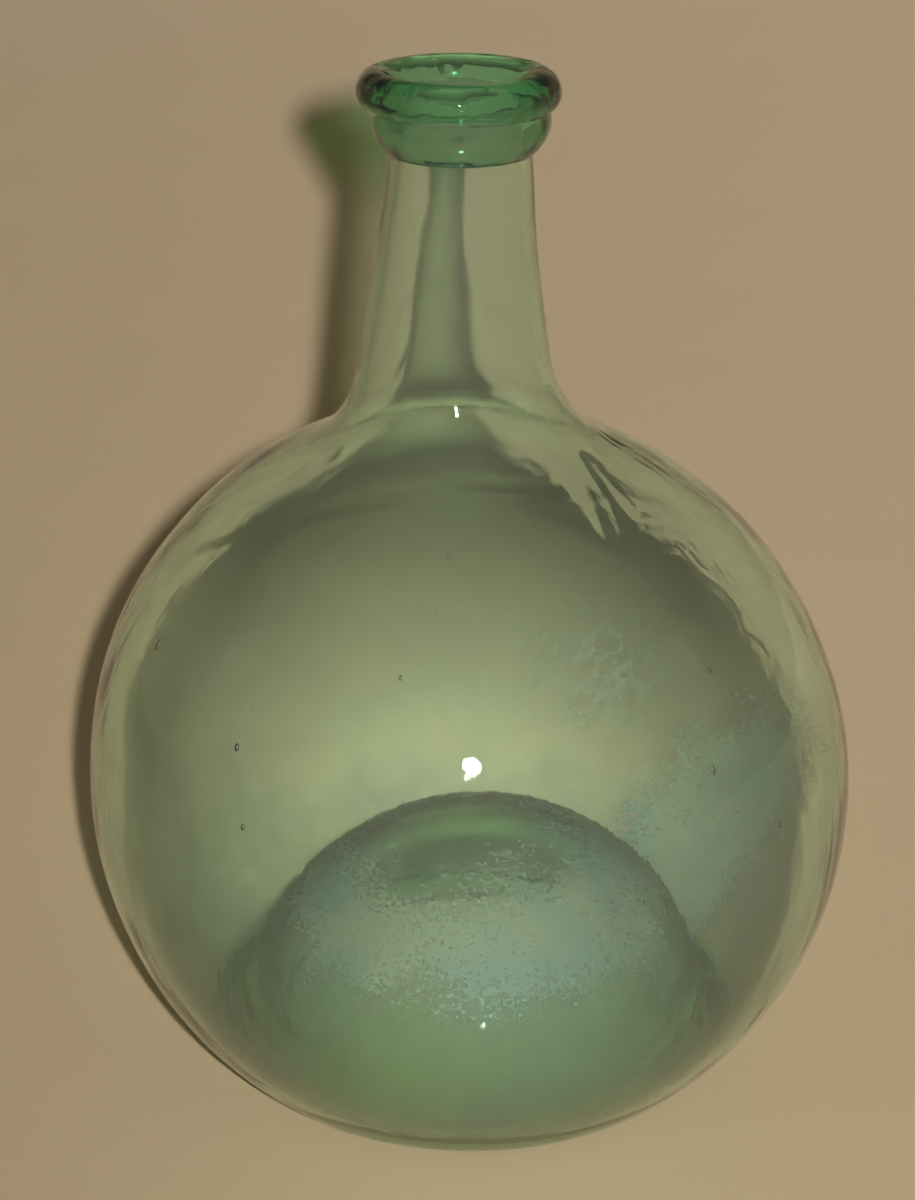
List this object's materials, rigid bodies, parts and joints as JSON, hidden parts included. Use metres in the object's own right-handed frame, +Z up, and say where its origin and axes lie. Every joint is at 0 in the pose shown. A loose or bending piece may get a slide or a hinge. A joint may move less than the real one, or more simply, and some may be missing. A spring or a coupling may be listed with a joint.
{
  "type": "glass carboy",
  "caption": "Globular glass carboy with a tall flared neck, tapered collar, rounded mouth ring and pushed-up base, open at the mouth.",
  "frame": {"origin": "centre of the foot ring, on the floor the carboy stands on", "axes": "+Z up along the axis of the mouth; -Y is the side that faces the viewer; +X is the viewer's right"},
  "size_m": [0.285, 0.2848, 0.3724],
  "materials": {
    "blown_glass": "clear green, hand blown, glossy",
    "collar_glass": "clear green, tooled, glossy",
    "ring_glass": "clear green, fire polished, glossy"
  },
  "bodies": {
    "root": {"vessel": "blown_glass", "neck_collar": "collar_glass", "mouth_ring": "ring_glass"}
  },
  "joints": []
}
